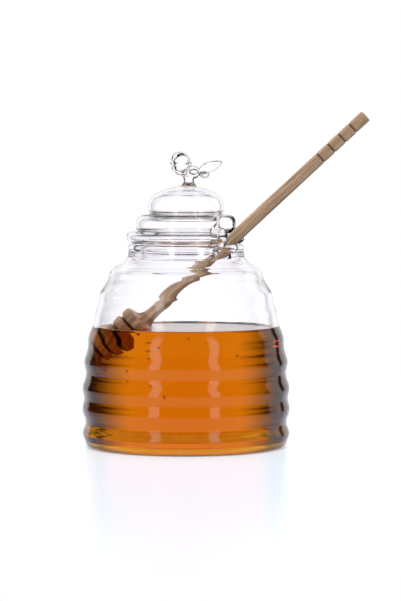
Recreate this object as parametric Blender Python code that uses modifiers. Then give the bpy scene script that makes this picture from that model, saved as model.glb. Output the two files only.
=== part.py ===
"""Beehive honey jar of clear glass, with its stepped lid, the honey in it and a wooden honey dipper.

The jar's base is centred on the origin and stands on the plane Z = 0. The lid rests on the jar's rim
with a side notch towards +X, and the dipper leans out of that notch with its head in the honey.
"""

import math

import bmesh
import bpy
from mathutils import Matrix, Vector

MM = 0.001
GAP = 0.3                 # clearance between touching pieces, in mm as all sizes below
STEPS = 32                # sides of every turned glass shape
WELD = 0.00001            # merge distance of turned shapes, in metres

# Jar: height and radius of each ring's crest, and the depth of the groove above it
JAR_RINGS = (
    (6.2, 51.0, 1.5),
    (18.4, 51.1, 0.75),
    (28.7, 51.0, 1.2),
    (41.5, 50.0, 0.45),
    (52.3, 48.0, 0.1),
    (64.3, 44.7, 0.2),
    (73.8, 42.6, 0.1),
    (84.0, 37.8, 0.0),
)
JAR_WALL = 2.0
JAR_FLOOR = 3.0           # thickness of the jar's bottom
INNER_GROOVE_SHARE = 0.6  # how deep the grooves are inside, as a share of the depth outside
FOOT_RADIUS = 46.6        # flat ring that the jar stands on
FOOT_EDGE = 3.2           # rounding of the foot
FLOOR_EDGE = 2.6          # rounding between the inner wall and the floor
NECK = ((86.6, 36.75), (88.5, 34.05), (89.5, 32.3), (91.4, 29.9), (92.9, 28.75), (95.6, 28.3))
RIM_RADIUS = 26.8         # centre of the fire-polished rim bead
RIM_BEAD = 1.65
RIM_HEIGHT = 97.75

# Lid: outline corners from the crown outwards and down, as radius, height and rounding
LID_OUTLINE = (
    (0.0, 127.3, 0.0),
    (18.7, 123.4, 7.5),
    (18.6, 115.6, 1.2),
    (17.8, 114.3, 0.7),
    (24.9, 113.7, 2.2),
    (24.9, 106.7, 1.0),
    (23.7, 105.6, 0.7),
    (29.0, 105.6, 2.7),
    (29.0, 99.8, 2.7),
    (22.9, 99.8, 1.0),
    (22.7, 91.7, 0.0),
)
LID_WALL = 1.3

# Notch in the lid's side: half width and height of its edge from the crown of the arch down
NOTCH_AZIMUTH = 68.5      # degrees from -Y towards +X
NOTCH_EDGE = (
    (12.0, 112.0, 6.0),
    (12.0, 106.0, 2.0),
    (14.3, 104.0, 2.0),
    (14.3, 100.6, 1.5),
    (11.0, 98.8, 1.5),
    (11.0, 95.0, 2.0),
    (13.5, 90.0, 0.0),
)
NOTCH_INNER = 12.0        # the cutter starts this far from the lid's axis
NOTCH_OUTER = 34.0

# Bee knob, drawn from glass rod and set a little off the lid's axis
BEE_OFFSET = 1.4
BEE_STEM = ((0.0, 133.0), (3.3, 133.0), (2.45, 130.7), (2.7, 129.4), (3.6, 128.2), (3.6, 126.2), (0.0, 126.2))
BEE_THORAX = ((1.9, 0.0, 134.4), (3.9, 3.3, 3.2))
BEE_HEAD = ((7.7, 0.0, 133.4), (2.3, 2.1, 1.9))
BEE_ABDOMEN_BASE = (-2.1, 0.0, 133.0)
BEE_ABDOMEN_LENGTH = 12.0
BEE_ABDOMEN_RADIUS = 5.0
BEE_ABDOMEN_RINGS = 4
BEE_ABDOMEN_RING_HEIGHT = 0.35
BEE_ABDOMEN_TILT = -17.0  # degrees from upright
BEE_WING_ROOT = (4.3, 1.0, 134.6)
BEE_WING_LENGTH = 13.6
BEE_WING_WIDTH = 5.8
BEE_WING_THICKNESS = 1.2
BEE_WING_RISE = 22.0      # degrees above level
BEE_WING_SPREAD = 17.0    # degrees to each side

# Honey
HONEY_LEVEL = 58.2

# Dipper, one turned piece of wood: distances run along its axis from the tip of its head
DIPPER_LENGTH = 176.5
DIPPER_STICK = 3.0        # radius
DIPPER_RISE = 42.9        # degrees above level
DIPPER_SIDE = -7.5        # its axis lies in the plane Y = DIPPER_SIDE
DIPPER_BELOW_RIM = 87.5   # length of the part below the place where it rests on the rim
DIPPER_SIDES = 20
DIPPER_DISCS = (          # start, end and radius of each disc of the head
    (0.0, 4.9, 7.2),
    (6.7, 10.7, 9.5),
    (12.4, 16.4, 10.2),
    (18.1, 22.1, 10.2),
    (23.8, 28.0, 10.0),
)
DIPPER_CORE = 6.0         # radius between the discs
DIPPER_NECK_LENGTH = 2.0  # from the last disc to the bare stick
DIPPER_DISC_ROUND = 0.5
DIPPER_DOME = 3.2         # height of the rounded tip
DIPPER_GRIP_FIRST = 8.8   # first grip groove, from the top end
DIPPER_GRIP_PITCH = 7.1
DIPPER_GRIP_GROOVES = 4
DIPPER_GRIP_DEPTH = 0.38
DIPPER_GRIP_WIDTH = 1.7


def smoothstep(share):
    return share * share * (3.0 - 2.0 * share)


def jar_radius(height, inset=0.0, groove_share=1.0):
    """Radius of the ringed wall at a height, between the first and the last ring's crest."""
    for (low, low_radius, groove), (high, high_radius, _) in zip(JAR_RINGS, JAR_RINGS[1:]):
        if height <= high:
            share = max(0.0, (height - low) / (high - low))
            radius = low_radius + (high_radius - low_radius) * smoothstep(share)
            return radius - groove * groove_share * math.sin(math.pi * share) ** 2 - inset
    return JAR_RINGS[-1][1] - inset


def ring_heights(per_ring):
    """Heights between the first and the last crest, with the same number in every ring, going up."""
    heights = []
    for (low, _, _), (high, _, _) in zip(JAR_RINGS, JAR_RINGS[1:]):
        heights += [low + (high - low) * step / per_ring for step in range(per_ring)]
    return heights + [JAR_RINGS[-1][0]]


def arc(centre, radius, start, end, steps):
    """Points of an arc about a centre, between two angles in degrees."""
    points = []
    for step in range(steps + 1):
        angle = math.radians(start + (end - start) * step / steps)
        points.append((centre[0] + radius * math.cos(angle), centre[1] + radius * math.sin(angle)))
    return points


def rounded(corners, turn_per_step=45.0):
    """An open outline whose corners (x, y, rounding) become round."""
    points = [corners[0][:2]]
    for before, corner, after in zip(corners, corners[1:], corners[2:]):
        here = Vector(corner[:2])
        back = Vector(before[:2]) - here
        ahead = Vector(after[:2]) - here
        turn = math.pi - back.angle(ahead)
        if corner[2] <= 0.0 or turn < 0.02:
            points.append(corner[:2])
            continue
        reach = min(corner[2] * math.tan(turn / 2.0), 0.48 * back.length, 0.48 * ahead.length)
        start = here + back.normalized() * reach
        end = here + ahead.normalized() * reach
        steps = max(1, round(math.degrees(turn) / turn_per_step))
        for step in range(steps + 1):
            share = step / steps
            bend = start.lerp(here, share).lerp(here.lerp(end, share), share)
            points.append((bend.x, bend.y))
    points.append(corners[-1][:2])
    return points


def inset_corners(corners, wall):
    """The corners of the same outline moved inwards by the wall: its right-hand side, going down."""
    lines = []
    for first, second in zip(corners, corners[1:]):
        start, end = Vector(first[:2]), Vector(second[:2])
        along = (end - start).normalized()
        shift = Vector((along.y, -along.x)) * wall
        lines.append((start + shift, along))
    moved = []
    for (start, along), (other, across), corner in zip(lines, lines[1:], corners[1:]):
        cross = along.x * across.y - along.y * across.x
        reach = ((other - start).x * across.y - (other - start).y * across.x) / cross
        meet = start + along * reach
        rounding = corner[2] - wall if cross < 0.0 else corner[2] + wall
        moved.append((meet.x, meet.y, max(rounding, 0.3)))
    return moved


def new_material(name, colour, roughness, transmission=0.0, ior=1.45):
    material = bpy.data.materials.new(name)
    material.use_nodes = True
    shader = material.node_tree.nodes["Principled BSDF"]
    shader.inputs["Base Color"].default_value = (*colour, 1.0)
    shader.inputs["Roughness"].default_value = roughness
    shader.inputs["Metallic"].default_value = 0.0
    shader.inputs["Transmission Weight"].default_value = transmission
    shader.inputs["IOR"].default_value = ior
    material.diffuse_color = (*colour, 1.0)
    return material


def new_collection(name):
    collection = bpy.data.collections.new(name)
    bpy.context.scene.collection.children.link(collection)
    return collection


def turned(name, outline, collection, sides=STEPS):
    """A profile turned about Z, its points given in mm as radius and height."""
    mesh = bpy.data.meshes.new(name)
    points = [(radius * MM, 0.0, height * MM) for radius, height in outline]
    edges = [(index, index + 1) for index in range(len(points) - 1)]
    mesh.from_pydata(points, edges, [])
    shape = bpy.data.objects.new(name, mesh)
    collection.objects.link(shape)
    screw = shape.modifiers.new("Turn", "SCREW")
    screw.steps = sides
    screw.render_steps = sides
    screw.use_merge_vertices = True
    screw.merge_threshold = WELD
    screw.use_smooth_shade = True
    return shape


def made_mesh(shape):
    """Replaces an object's data and modifiers by the mesh they give."""
    bpy.context.view_layer.update()
    evaluated = shape.evaluated_get(bpy.context.evaluated_depsgraph_get())
    mesh = bpy.data.meshes.new_from_object(evaluated)
    shape.modifiers.clear()
    shape.data = mesh
    return shape


def as_mesh_object(curve_object, collection):
    """The closed mesh of a curve object, which it replaces."""
    bpy.context.view_layer.update()
    evaluated = curve_object.evaluated_get(bpy.context.evaluated_depsgraph_get())
    mesh = bpy.data.meshes.new_from_object(evaluated)
    weld_doubles(mesh)
    solid = bpy.data.objects.new(curve_object.name + "_solid", mesh)
    solid.matrix_world = curve_object.matrix_world.copy()
    collection.objects.link(solid)
    bpy.data.objects.remove(curve_object)
    return solid


def weld_doubles(mesh):
    shell = bmesh.new()
    shell.from_mesh(mesh)
    bmesh.ops.remove_doubles(shell, verts=shell.verts, dist=WELD)
    bmesh.ops.recalc_face_normals(shell, faces=shell.faces)
    shell.to_mesh(mesh)
    shell.free()


def cut_with(shape, cutter, name):
    cut = shape.modifiers.new(name, "BOOLEAN")
    cut.operation = "DIFFERENCE"
    cut.solver = "EXACT"
    cut.object = cutter


def hide_cutter(cutter):
    cutter.hide_render = True
    cutter.display_type = "WIRE"


def round_foot(inset, floor, flat_radius, edge):
    """Outline from the first crest down round the foot edge to the middle of the bottom."""
    crest_height, crest_radius, _ = JAR_RINGS[0]
    corner = arc((flat_radius, floor + edge), edge, 0.0, -90.0, 4)
    return [(crest_radius - inset, crest_height)] + corner + [(0.0, floor)]


def inner_foot(inset, floor):
    """The same inside the wall, where the flat floor ends close to the wall."""
    flat_radius = JAR_RINGS[0][1] - inset - FLOOR_EDGE - 0.2
    return round_foot(inset, floor, flat_radius, FLOOR_EDGE)


def build_jar(collection, glass):
    """Blown jar, mould-ringed outside and softer inside, with a thick polished rim."""
    floor = inner_foot(JAR_WALL, JAR_FLOOR)[::-1]
    inner_wall = [(jar_radius(z, JAR_WALL, INNER_GROOVE_SHARE), z) for z in ring_heights(3)[1:]]
    inner_neck = [(radius - JAR_WALL, height) for height, radius in NECK[:-1]]
    bead = arc((RIM_RADIUS, RIM_HEIGHT), RIM_BEAD, 200.0, -30.0, 7)
    outer_neck = [(radius, height) for height, radius in reversed(NECK)]
    outer_wall = [(jar_radius(z), z) for z in reversed(ring_heights(4)[1:])]
    foot = round_foot(0.0, 0.0, FOOT_RADIUS, FOOT_EDGE)
    outline = floor + inner_wall + inner_neck + bead + outer_neck + outer_wall + foot
    jar = turned("jar", outline, collection)
    jar.data.materials.append(glass)
    return jar


def notch_cutter(collection):
    """Arch-shaped prism that runs out through the lid's side."""
    right = rounded(((0.0, NOTCH_EDGE[0][1], 0.0),) + NOTCH_EDGE, 24.0)
    left = [(-x, y) for x, y in reversed(right[1:])]
    outline = left + right
    curve = bpy.data.curves.new("notch_outline", "CURVE")
    curve.dimensions = "2D"
    curve.fill_mode = "BOTH"
    curve.extrude = (NOTCH_OUTER - NOTCH_INNER) / 2.0 * MM
    spline = curve.splines.new("POLY")
    spline.points.add(len(outline) - 1)
    for point, (x, y) in zip(spline.points, outline):
        point.co = (x * MM, y * MM, 0.0, 1.0)
    spline.use_cyclic_u = True
    flat = bpy.data.objects.new("notch_outline", curve)
    collection.objects.link(flat)
    outwards = Vector((math.sin(math.radians(NOTCH_AZIMUTH)), -math.cos(math.radians(NOTCH_AZIMUTH)), 0.0))
    up = Vector((0.0, 0.0, 1.0))
    sideways = up.cross(outwards)
    frame = Matrix((sideways, up, outwards)).transposed().to_4x4()
    middle = outwards * (NOTCH_INNER + NOTCH_OUTER) / 2.0 * MM
    flat.matrix_world = Matrix.Translation(middle) @ frame
    cutter = as_mesh_object(flat, collection)
    hide_cutter(cutter)
    return cutter


def ball(name, place, collection):
    """An ellipsoid from its centre and its half lengths."""
    centre, halves = place
    bpy.ops.mesh.primitive_uv_sphere_add(segments=14, ring_count=9, radius=MM)
    shape = bpy.context.active_object
    shape.name = name
    shape.scale = halves
    shape.location = Vector(centre) * MM + Vector((BEE_OFFSET * MM, 0.0, 0.0))
    move_to(shape, collection)
    return shape


def move_to(shape, collection):
    for holder in list(shape.users_collection):
        holder.objects.unlink(shape)
    collection.objects.link(shape)


def bee_abdomen(collection):
    """Round ringed body of the bee, turned about its own leaning axis."""
    steps = 4 * BEE_ABDOMEN_RINGS
    outline = []
    for step in range(steps + 1):
        share = 1.0 - step / steps
        radius = BEE_ABDOMEN_RADIUS * math.sqrt(1.0 - (2.0 * share - 1.0) ** 2)
        ring = BEE_ABDOMEN_RING_HEIGHT * math.sin(math.pi * share) * math.cos(math.pi * step / 2.0)
        outline.append((radius - ring, BEE_ABDOMEN_LENGTH * share))
    outline[0] = (0.0, BEE_ABDOMEN_LENGTH)
    outline[-1] = (0.0, 0.0)
    shape = turned("bee_abdomen", outline, collection, 16)
    shape.location = (Vector(BEE_ABDOMEN_BASE) + Vector((BEE_OFFSET, 0.0, 0.0))) * MM
    shape.rotation_euler = (0.0, math.radians(BEE_ABDOMEN_TILT), 0.0)
    return made_mesh(shape)


def bee_wing(side, collection):
    """Leaf-shaped wing, its root at the thorax and its tip up and out to one side."""
    curve = bpy.data.curves.new("bee_wing", "CURVE")
    curve.dimensions = "2D"
    curve.fill_mode = "BOTH"
    curve.resolution_u = 5
    curve.extrude = BEE_WING_THICKNESS / 2.0 * MM
    spline = curve.splines.new("BEZIER")
    leaf = ((0.0, 0.0), (0.55 * BEE_WING_LENGTH, 0.5 * BEE_WING_WIDTH),
            (BEE_WING_LENGTH, 0.0), (0.55 * BEE_WING_LENGTH, -0.5 * BEE_WING_WIDTH))
    spline.bezier_points.add(len(leaf) - 1)
    for point, (x, y) in zip(spline.bezier_points, leaf):
        point.co = (x * MM, y * MM, 0.0)
        point.handle_left_type = "AUTO" if y else "VECTOR"
        point.handle_right_type = "AUTO" if y else "VECTOR"
    spline.use_cyclic_u = True
    flat = bpy.data.objects.new("bee_wing_" + ("front" if side < 0 else "back"), curve)
    collection.objects.link(flat)
    root = Vector((BEE_WING_ROOT[0] + BEE_OFFSET, side * BEE_WING_ROOT[1], BEE_WING_ROOT[2])) * MM
    turn = Matrix.Rotation(math.radians(side * BEE_WING_SPREAD), 4, "Z")
    rise = Matrix.Rotation(math.radians(-BEE_WING_RISE), 4, "Y")
    tip_up = Matrix.Rotation(math.radians(90.0 - side * 24.0), 4, "X")
    flat.matrix_world = Matrix.Translation(root) @ turn @ rise @ tip_up
    return as_mesh_object(flat, collection)


def build_lid(collection, cutters, glass):
    """Blown stepped lid, notched at its side, with the bee knob fused to its crown."""
    crown_height = LID_OUTLINE[0][1]
    skirt_radius, skirt_height, _ = LID_OUTLINE[-1]
    skirt_end = (skirt_radius - LID_WALL, skirt_height, 0.0)
    crown = (0.0, crown_height - LID_WALL, 0.0)
    outer = rounded(LID_OUTLINE)
    inner = rounded([skirt_end] + inset_corners(LID_OUTLINE, LID_WALL)[::-1] + [crown])
    lid = turned("lid", outer + inner, collection)
    cut_with(lid, notch_cutter(cutters), "Side notch")
    bee = new_collection("bee_pieces")
    stem = turned("bee_stem", BEE_STEM, bee, 16)
    stem.location.x = BEE_OFFSET * MM
    made_mesh(stem)
    bee_abdomen(bee)
    ball("bee_thorax", BEE_THORAX, bee)
    ball("bee_head", BEE_HEAD, bee)
    for side in (-1, 1):
        bee_wing(side, bee)
    join = lid.modifiers.new("Bee knob", "BOOLEAN")
    join.operation = "UNION"
    join.solver = "EXACT"
    join.operand_type = "COLLECTION"
    join.collection = bee
    made_mesh(lid)
    for piece in list(bee.objects):
        bpy.data.objects.remove(piece)
    bpy.data.collections.remove(bee)
    lid.data.shade_smooth()
    lid.data.set_sharp_from_angle(angle=math.radians(40.0))
    lid.data.materials.clear()
    lid.data.materials.append(glass)
    return lid


def tip_dome(extra):
    """Rounded tip of the head, from its widest ring to the axis, grown all round by extra."""
    radius = DIPPER_DISCS[0][2] + extra
    points = []
    for step in range(4):
        angle = math.radians(22.5 * step)
        points.append((radius * math.cos(angle), DIPPER_DOME - (DIPPER_DOME + extra) * math.sin(angle)))
    return points + [(0.0, -extra)]


def dipper_profile():
    """Outline of the dipper from its top end down to its tip, as radius and distance from the tip."""
    outline = [(0.0, DIPPER_LENGTH), (DIPPER_STICK - 0.4, DIPPER_LENGTH), (DIPPER_STICK, DIPPER_LENGTH - 0.4)]
    for groove in range(DIPPER_GRIP_GROOVES):
        middle = DIPPER_LENGTH - DIPPER_GRIP_FIRST - groove * DIPPER_GRIP_PITCH
        outline.append((DIPPER_STICK, middle + DIPPER_GRIP_WIDTH / 2.0))
        outline.append((DIPPER_STICK - DIPPER_GRIP_DEPTH, middle))
        outline.append((DIPPER_STICK, middle - DIPPER_GRIP_WIDTH / 2.0))
    outline.append((DIPPER_STICK, DIPPER_DISCS[-1][1] + DIPPER_NECK_LENGTH))
    for number, (start, end, radius) in enumerate(reversed(DIPPER_DISCS)):
        inner = DIPPER_STICK + 1.2 if number == 0 else DIPPER_CORE
        outline += [(inner, end), (radius - DIPPER_DISC_ROUND, end), (radius, end - DIPPER_DISC_ROUND)]
        if start > 0.0:
            outline += [(radius, start + DIPPER_DISC_ROUND), (radius - DIPPER_DISC_ROUND, start),
                        (DIPPER_CORE, start)]
    return outline + tip_dome(0.0)


def dipper_place():
    """Tip of the dipper and the turn that lays it in the notch, resting just above the rim bead."""
    bead_x = math.sqrt(RIM_RADIUS ** 2 - DIPPER_SIDE ** 2)
    rise = math.radians(DIPPER_RISE)
    lift = RIM_BEAD + DIPPER_STICK + GAP + 0.1
    rest = Vector((bead_x - lift * math.sin(rise), DIPPER_SIDE, RIM_HEIGHT + lift * math.cos(rise)))
    along = Vector((math.cos(rise), 0.0, math.sin(rise)))
    return (rest - along * DIPPER_BELOW_RIM) * MM, (0.0, math.pi / 2.0 - rise, 0.0)


def build_dipper(collection, wood):
    dipper = turned("dipper", dipper_profile(), collection, DIPPER_SIDES)
    dipper.location, dipper.rotation_euler = dipper_place()
    dipper.data.materials.append(wood)
    return dipper


def head_cutter(collection):
    """The outline of the dipper's head without its grooves, larger all round by the gap."""
    outline = []
    for start, end, radius in reversed(DIPPER_DISCS):
        if start > 0.0:
            outline += [(radius + GAP + 0.05, end), (radius + GAP + 0.05, start)]
    outline += tip_dome(GAP + 0.05)
    top = DIPPER_DISCS[-1][1]
    outline = [(0.0, top + 8.0), (DIPPER_STICK + 1.6, top + 8.0), (DIPPER_STICK + 1.6, top + GAP),
               (DIPPER_DISCS[-1][2] + GAP, top + GAP)] + outline
    cutter = turned("head_space", outline, collection, DIPPER_SIDES)
    cutter.location, cutter.rotation_euler = dipper_place()
    hide_cutter(cutter)
    return cutter


def build_honey(collection, cutters, honey_material):
    """Honey up to its level, following the jar's inner wall and cut round the dipper's head."""
    heights = [z for z in ring_heights(3)[1:] if z < HONEY_LEVEL - 0.5] + [HONEY_LEVEL]
    inset = JAR_WALL + GAP
    wall = [(jar_radius(z, inset, INNER_GROOVE_SHARE), z) for z in reversed(heights)]
    outline = [(0.0, HONEY_LEVEL)] + wall + inner_foot(inset, JAR_FLOOR + GAP)
    honey = turned("honey", outline, collection)
    cut_with(honey, head_cutter(cutters), "Dipper head")
    honey.data.materials.append(honey_material)
    return honey


def clear_objects():
    for old in list(bpy.data.objects):
        bpy.data.objects.remove(old)


def main():
    clear_objects()
    parts = new_collection("honey_jar")
    cutters = new_collection("cutters")
    build_jar(parts, new_material("borosilicate_glass", (0.93, 0.94, 0.96), 0.02, 1.0, 1.47))
    build_lid(parts, cutters, new_material("lampworked_glass", (0.95, 0.95, 0.97), 0.02, 1.0, 1.47))
    build_honey(parts, cutters, new_material("honey", (0.60, 0.14, 0.008), 0.05, 0.6, 1.49))
    build_dipper(parts, new_material("turned_beech", (0.46, 0.33, 0.22), 0.6))


main()
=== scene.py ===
"""Beehive honey jar of clear glass with its stepped lid, the honey in it and a turned wooden dipper.

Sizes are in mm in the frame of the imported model: Z up along the jar's axis, -Y towards the camera.
The sizes of the solids are repeated here, because this script reads nothing but the frame.
"""

import math

import bmesh
import bpy
from mathutils import Matrix, Vector, kdtree, noise


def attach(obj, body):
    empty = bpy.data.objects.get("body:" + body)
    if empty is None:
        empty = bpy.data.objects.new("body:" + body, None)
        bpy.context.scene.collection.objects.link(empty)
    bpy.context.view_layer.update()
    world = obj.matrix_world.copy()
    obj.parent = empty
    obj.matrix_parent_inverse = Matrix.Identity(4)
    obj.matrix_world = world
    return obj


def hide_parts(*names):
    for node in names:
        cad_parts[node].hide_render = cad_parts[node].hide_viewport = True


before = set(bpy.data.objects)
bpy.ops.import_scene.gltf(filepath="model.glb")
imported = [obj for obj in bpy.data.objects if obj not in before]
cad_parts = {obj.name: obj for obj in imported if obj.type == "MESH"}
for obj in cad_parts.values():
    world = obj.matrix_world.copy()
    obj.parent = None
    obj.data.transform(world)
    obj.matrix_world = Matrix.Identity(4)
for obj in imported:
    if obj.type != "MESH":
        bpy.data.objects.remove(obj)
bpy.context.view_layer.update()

MM = 0.001
FULL_TURN = 2.0 * math.pi
POLE_MERGE = 0.0005       # mm, closes the poles of turned shapes

# Jar: height and radius of each ring's crest, and the depth of the groove above it
JAR_RINGS = (
    (6.2, 51.0, 1.5),
    (18.4, 51.1, 0.75),
    (28.7, 51.0, 1.2),
    (41.5, 50.0, 0.45),
    (52.3, 48.0, 0.1),
    (64.3, 44.7, 0.2),
    (73.8, 42.6, 0.1),
    (84.0, 37.8, 0.0),
)
JAR_STEPS = 192
JAR_WALL = 2.0
TOP_WALL_SHARE = 0.6      # how thick the wall still is at the shoulder, against the rings below
THIN_FROM = 72.0
THIN_OVER = 12.0
JAR_FLOOR = 2.1
INNER_GROOVE_SHARE = 0.6
FOOT_RADIUS = 46.6
FOOT_EDGE = 3.2
FLOOR_EDGE = 2.2
NECK = ((86.6, 36.75), (88.5, 34.05), (89.5, 32.3), (91.4, 29.9), (92.9, 28.75), (95.6, 28.3))
RIM_RADIUS = 26.8
RIM_BEAD = 1.65
RIM_HEIGHT = 97.75
BLOWN_WAVE = 0.10         # how far the hand-blown wall strays from round
BLOWN_SPAN = 21.0         # typical distance from one stray to the next

# Lid: outline corners from the crown outwards and down, as radius, height and rounding
LID_OUTLINE = (
    (0.0, 128.3, 0.0),
    (4.0, 128.0, 5.0),
    (11.5, 125.8, 9.0),
    (16.6, 123.2, 5.0),
    (18.5, 119.2, 5.0),
    (18.3, 115.5, 1.2),
    (17.5, 114.2, 0.8),
    (21.9, 113.6, 3.6),
    (24.7, 111.2, 3.6),
    (24.6, 106.8, 1.4),
    (23.5, 105.6, 0.8),
    (29.1, 105.6, 2.9),
    (29.1, 99.8, 2.9),
    (22.9, 99.8, 1.0),
    (22.7, 91.7, 0.0),
)
LID_WALL = 1.3
LID_STEPS = 176

# Notch in the lid's side: half width and height of its edge from the crown of the arch down
NOTCH_AZIMUTH = 68.5      # degrees from -Y towards +X
NOTCH_EDGE = (
    (8.0, 113.1, 4.0),
    (11.9, 109.8, 3.5),
    (12.0, 106.0, 2.0),
    (14.3, 104.0, 2.0),
    (14.3, 100.6, 1.5),
    (11.0, 98.8, 1.5),
    (11.0, 95.0, 2.0),
    (13.5, 90.0, 0.0),
)
NOTCH_INNER = 12.0
NOTCH_OUTER = 34.0
LIP_RADIUS = 0.65         # thick flame-polished lip round the notch
LIP_SWELL = 2.0           # how much thicker it is low on its front side
LIP_SWELL_FROM = 112.0
LIP_SWELL_OVER = 7.0
LIP_EASE = 0.6            # how much of that is gone again at the skirt
LIP_EASE_FROM = 101.0
LIP_EASE_OVER = 4.0
LIP_VOXEL = 0.3           # grid on which the lip's pieces melt into one
LIP_MELT = 2.6            # how far from the lip the wall is softened into it

# Bee knob, drawn from glass rod
BEE_OFFSET = 1.4
BEE_STEM = ((0.0, 133.0), (3.3, 133.0), (2.45, 130.7), (2.7, 129.4), (3.6, 128.2), (3.6, 126.2), (0.0, 126.2))
BEE_THORAX = ((1.9, 0.0, 134.4), (3.9, 3.3, 3.2))
BEE_HEAD = ((7.7, 0.0, 133.4), (2.3, 2.1, 1.9))
BEE_ABDOMEN_BASE = (-2.1, 0.0, 133.0)
BEE_ABDOMEN_LENGTH = 12.0
BEE_ABDOMEN_RADIUS = 5.0
BEE_ABDOMEN_RINGS = 4
BEE_ABDOMEN_RING_HEIGHT = 0.38
BEE_ABDOMEN_TILT = -17.0
BEE_WING_ROOT = (4.3, 1.0, 134.6)
BEE_WING_LENGTH = 13.6
BEE_WING_WIDTH = 5.8
BEE_WING_THICKNESS = 1.9
BEE_WING_RISE = 22.0
BEE_WING_SPREAD = 17.0
BEE_WING_ROLL = 24.0
BEE_HOLLOWS = (           # blown hollows in its body and head, as centre and half lengths
    ((-3.7, 0.0, 139.0), (3.4, 3.4, 4.3)),
    ((2.2, 0.0, 134.6), (1.9, 1.5, 1.2)),
    ((7.8, 0.0, 133.4), (1.2, 1.1, 1.0)),
)
BEE_VOXEL = 0.24          # grid on which the knob's pieces melt into one

# Honey
HONEY_LEVEL = 58.2
HONEY_INTO_GLASS = 0.2    # the honey reaches this far into the glass, so no air shows between them
MENISCUS_RISE = 0.7
MENISCUS_REACH = 1.1
HONEY_BUBBLES = (         # small air bubbles as centre and radius
    ((-12.6, -44.0, 51.5), 0.62),
    ((-17.4, -42.5, 46.0), 0.5),
    ((-27.2, -38.0, 40.2), 0.58),
    ((-27.0, -37.0, 34.8), 0.5),
    ((-16.0, -43.0, 32.9), 0.58),
    ((-9.7, -45.0, 28.0), 0.62),
    ((1.5, -44.0, 55.3), 0.5),
    ((24.0, -38.5, 47.2), 0.6),
    ((32.5, 14.0, 50.0), 0.58),
    ((-8.0, 40.0, 44.0), 0.62),
    ((15.0, 41.0, 53.0), 0.5),
    ((-36.0, 21.0, 52.0), 0.55),
    ((40.0, -12.0, 38.0), 0.5),
    ((-3.0, 12.0, 55.5), 0.6),
)

# Dipper, one turned piece of wood: distances run along its axis from the tip of its head
DIPPER_LENGTH = 176.5
DIPPER_STICK = 3.0
DIPPER_CLEARANCE = 0.4    # between the stick and the rim that it leans over
DIPPER_RISE = 42.9
DIPPER_SIDE = -7.5
DIPPER_BELOW_RIM = 87.5
DIPPER_DISCS = (
    (0.0, 4.9, 7.2),
    (6.7, 10.7, 9.5),
    (12.4, 16.4, 10.2),
    (18.1, 22.1, 10.2),
    (23.8, 28.0, 10.0),
)
DIPPER_CORE = 6.0
DIPPER_NECK_LENGTH = 2.0
DIPPER_DISC_ROUND = 0.5
DIPPER_DOME = 3.2
DIPPER_GRIP_FIRST = 8.8
DIPPER_GRIP_PITCH = 7.1
DIPPER_GRIP_GROOVES = 4
DIPPER_GRIP_DEPTH = 0.38
DIPPER_GRIP_WIDTH = 1.7
FILM = 0.22               # thickness of the honey that clings to the head above the surface
FILM_TOP = 34.0           # where the film ends on the stick
GROOVE_PAINTED_SHADE_FROM = 7.6   # radius from which the grooves between the discs get painted shade
GROOVE_PAINTED_SHADE_OVER = 1.4
SOAK_ABOVE = 4.0          # how far above the level the wood is soaked, and how softly that ends
SOAK_OVER = 5.0

# Stage: the table, and the studio's brightness by angle in degrees round the jar (0 towards the camera,
# 90 to the right) or by rise above the horizon
TABLE_RADIUS = 420.0
TABLE_GAP = 0.06
# radii in mm over which the painted shadow under the jar fades into the table's full glow
PAINTED_SHADOW_SPOT = (44.0, 51.0)
LIT_BY_RISE = ((-90, 0.3), (-5, 0.38), (12, 0.75), (90, 2.75))
BACKDROP_HALF = (
    (48, 0.85), (58, 0.02), (76, 0.02), (81, 0.6), (99, 0.6), (104, 0.02), (126, 0.02), (133, 0.08),
    (140, 0.25), (147, 0.5), (153, 0.8), (158, 1.0), (180, 1.0),
)
BACKDROP_BY_RISE = ((-90, 0.06), (-70, 0.06), (-60, 1.0), (22, 1.0), (36, 0.06), (90, 0.06))
BACKDROP_GAIN = (1.12, 1.12, 1.15, 1.0)
SOFT_BOXES = (
    (-180, 1.0), (-142, 1.0), (-138, 0.02), (-43, 0.0), (-41, 4.0), (-31, 4.0), (-29, 0.0), (27, 0.0),
    (28, 4.0), (38, 4.0), (40, 0.0), (104, 0.02), (108, 1.25), (128, 1.25), (133, 0.02), (138, 0.02),
    (142, 1.0), (180, 1.0),
)
SOFT_BOXES_BY_RISE = ((-90, 0.4), (-40, 0.6), (-30, 1.0), (32, 1.0), (40, 0.05), (90, 0.05))

# Camera, in metres
CAMERA_PLACE = (0.0071, -1.362, 0.1478)
CAMERA_AIM = (0.0071, 0.0, 0.0716)
CAMERA_LENS = 166.5       # mm, on a sensor 36 mm wide
LIGHT_BOUNCES = 32        # light crosses up to eight walls, and is mirrored inside them


# Shapes

def smoothstep(share):
    """Soft step from 0 to 1, level before and after."""
    share = min(1.0, max(0.0, share))
    return share * share * (3.0 - 2.0 * share)


def jar_radius(height, groove_share=1.0):
    """Radius of the ringed wall at a height, between the first and the last ring's crest."""
    for (low, low_radius, groove), (high, high_radius, _) in zip(JAR_RINGS, JAR_RINGS[1:]):
        if height <= high:
            share = max(0.0, (height - low) / (high - low))
            radius = low_radius + (high_radius - low_radius) * smoothstep(share)
            return radius - groove * groove_share * math.sin(math.pi * share) ** 2
    return JAR_RINGS[-1][1]


def ring_heights(per_ring):
    """Heights from the first to the last crest, a number of them for each ring."""
    heights = []
    for (low, _, _), (high, _, _) in zip(JAR_RINGS, JAR_RINGS[1:]):
        heights += [low + (high - low) * step / per_ring for step in range(per_ring)]
    return heights + [JAR_RINGS[-1][0]]


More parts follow.
